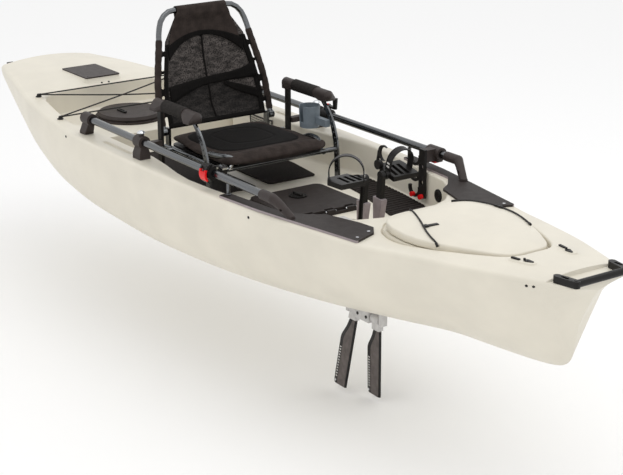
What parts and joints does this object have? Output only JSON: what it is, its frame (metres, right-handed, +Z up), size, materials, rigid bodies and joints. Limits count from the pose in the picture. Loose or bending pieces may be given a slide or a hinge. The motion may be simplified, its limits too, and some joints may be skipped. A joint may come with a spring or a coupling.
{
  "type": "pedal kayak",
  "caption": "Sit-on-top fishing kayak driven by counter-moving pedals and flapping fins, with a framed folding seat, side rails, hatches, cargo well and kick-up rudder.",
  "frame": {"origin": "on the flat of the keel at mid-length, in the plane of symmetry", "axes": "+X to the bow, +Y to port, +Z up"},
  "size_m": [3.724, 0.932, 1.2474],
  "materials": {
    "hull_polyethylene": "rotomoulded satin",
    "dark_plastic": "moulded, fine grain",
    "black_plastic": "moulded satin",
    "red_plastic": "moulded gloss",
    "rail_aluminium": "anodised satin",
    "grey_plastic": "moulded satin",
    "mat_foam": "ribbed foam",
    "grip_foam": "soft foam",
    "cushion_fabric": "woven, padded",
    "back_fabric": "mesh and woven cloth",
    "pocket_mesh": "knitted net",
    "elastic_cord": "braided sleeve",
    "screw_steel": "blackened",
    "drive_casting": "painted casting",
    "fin_rubber": "moulded"
  },
  "bodies": {
    "hull": {"hull": "hull_polyethylene", "stern_handle": "dark_plastic", "rear_bracket_left": "dark_plastic", "rear_bracket_right": "dark_plastic", "mid_bracket_left": "dark_plastic", "mid_bracket_right": "dark_plastic", "elbow_left": "dark_plastic", "elbow_right": "dark_plastic", "board_left": "dark_plastic", "board_right": "dark_plastic", "round_hatch_ring": "dark_plastic", "centre_hatch_frame": "dark_plastic", "stern_pad": "dark_plastic", "rack_clamp": "dark_plastic", "rudder_bracket": "dark_plastic", "bow_handle": "black_plastic", "bow_hooks": "black_plastic", "cargo_eyes": "black_plastic", "rod_ports": "black_plastic", "rod_rack": "black_plastic", "steering_clamp": "black_plastic", "rail_left": "rail_aluminium", "rail_right": "rail_aluminium", "rail_prop_left": "rail_aluminium", "rail_prop_right": "rail_aluminium", "seat_frame": "rail_aluminium", "seat_side_left": "rail_aluminium", "seat_side_right": "rail_aluminium", "cup_holder": "grey_plastic", "mat_fwd_left": "mat_foam", "mat_fwd_right": "mat_foam", "mat_aft_left": "mat_foam", "mat_aft_right": "mat_foam", "armrest_left": "grip_foam", "armrest_right": "grip_foam", "seat_cushion": "cushion_fabric", "net_pocket": "pocket_mesh", "cargo_elastics": "elastic_cord", "hull_screws": "screw_steel", "drive_spine": "drive_casting"},
    "crank_left": {"crank_left": "black_plastic"},
    "crank_right": {"crank_right": "black_plastic"},
    "pedal_left": {"pedal_left": "black_plastic"},
    "pedal_right": {"pedal_right": "black_plastic"},
    "fin_front": {"fin_hub_front": "drive_casting", "fin_blade_front": "fin_rubber"},
    "fin_rear": {"fin_hub_rear": "drive_casting", "fin_blade_rear": "fin_rubber"},
    "seat_back": {"seat_back_frame": "rail_aluminium", "seat_back_panel": "back_fabric"},
    "bow_lid": {"bow_hatch_lid": "hull_polyethylene", "bow_elastic": "elastic_cord"},
    "centre_lid": {"centre_hatch_lid": "dark_plastic"},
    "centre_latch": {"centre_latch": "black_plastic"},
    "round_lid": {"round_hatch_lid": "dark_plastic"},
    "rudder_stock": {"rudder_stock": "dark_plastic"},
    "rudder_blade": {"rudder_blade": "black_plastic"},
    "steering_lever": {"steering_lever": "black_plastic"},
    "lever_clamp": {"lever_clamp": "black_plastic"},
    "clamp_lever": {"clamp_lever": "red_plastic"}
  },
  "joints": [
    {"name": "pedal_stroke", "type": "hinge", "parent": "hull", "child": "crank_left", "pos_m": [0.7, 0, 0.14], "axis": [0, 1, 0], "range_deg": [-24, 24]},
    {"name": "pedal_stroke_right", "type": "hinge", "parent": "hull", "child": "crank_right", "pos_m": [0.7, 0, 0.14], "axis": [0, 1, 0], "range_deg": [-24, 24]},
    {"name": "pedal_left_tilt", "type": "hinge", "parent": "crank_left", "child": "pedal_left", "pos_m": [0.727, 0.1, 0.442], "axis": [0, 1, 0], "range_deg": [-35, 35]},
    {"name": "pedal_right_tilt", "type": "hinge", "parent": "crank_right", "child": "pedal_right", "pos_m": [0.727, -0.1, 0.442], "axis": [0, 1, 0], "range_deg": [-35, 35]},
    {"name": "fin_front_sweep", "type": "hinge", "parent": "hull", "child": "fin_front", "pos_m": [0.758, 0, -0.075], "axis": [1, 0, 0], "range_deg": [-70, 70]},
    {"name": "fin_rear_sweep", "type": "hinge", "parent": "hull", "child": "fin_rear", "pos_m": [0.627, 0, -0.075], "axis": [1, 0, 0], "range_deg": [-70, 70]},
    {"name": "seat_back_fold", "type": "hinge", "parent": "hull", "child": "seat_back", "pos_m": [-0.285, 0, 0.42], "axis": [0, 1, 0], "range_deg": [-15, 65]},
    {"name": "bow_lid_open", "type": "hinge", "parent": "hull", "child": "bow_lid", "pos_m": [1.541, 0, 0.404], "axis": [0, 1, 0], "range_deg": [0, 75]},
    {"name": "centre_lid_open", "type": "hinge", "parent": "hull", "child": "centre_lid", "pos_m": [0.476, 0, 0.252], "axis": [0, 1, 0], "range_deg": [0, 85]},
    {"name": "latch_turn", "type": "hinge", "parent": "centre_lid", "child": "centre_latch", "pos_m": [0.266, 0, 0.258], "axis": [0, 0, 1], "range_deg": [0, 90]},
    {"name": "round_lid_turn", "type": "hinge", "parent": "hull", "child": "round_lid", "pos_m": [-1, 0, 0.31], "axis": [0, 0, 1], "range_deg": [0, 45]},
    {"name": "rudder_turn", "type": "hinge", "parent": "hull", "child": "rudder_stock", "pos_m": [-1.836, 0, 0.3], "axis": [0, 0, 1], "range_deg": [-30, 30]},
    {"name": "rudder_kick", "type": "hinge", "parent": "rudder_stock", "child": "rudder_blade", "pos_m": [-1.836, 0, 0.214], "axis": [0, 1, 0], "range_deg": [0, 80]},
    {"name": "steering_turn", "type": "hinge", "parent": "hull", "child": "steering_lever", "pos_m": [-0.108, 0.402, 0.462], "axis": [0, 0, 1], "range_deg": [-36, 36]},
    {"name": "clamp_slide", "type": "slide", "parent": "hull", "child": "lever_clamp", "axis": [1, 0, 0], "range_m": [-0.4, 0.05]},
    {"name": "clamp_release", "type": "hinge", "parent": "lever_clamp", "child": "clamp_lever", "pos_m": [0.316, -0.426, 0.455], "axis": [1, 0, 0], "range_deg": [-70, 0]}
  ],
  "couplings": [
    {"joint": "pedal_stroke_right", "follows": "pedal_stroke", "ratio": -1},
    {"joint": "fin_front_sweep", "follows": "pedal_stroke", "ratio": 2.9},
    {"joint": "fin_rear_sweep", "follows": "pedal_stroke", "ratio": -2.9},
    {"joint": "steering_turn", "follows": "rudder_turn", "ratio": 1.2}
  ]
}
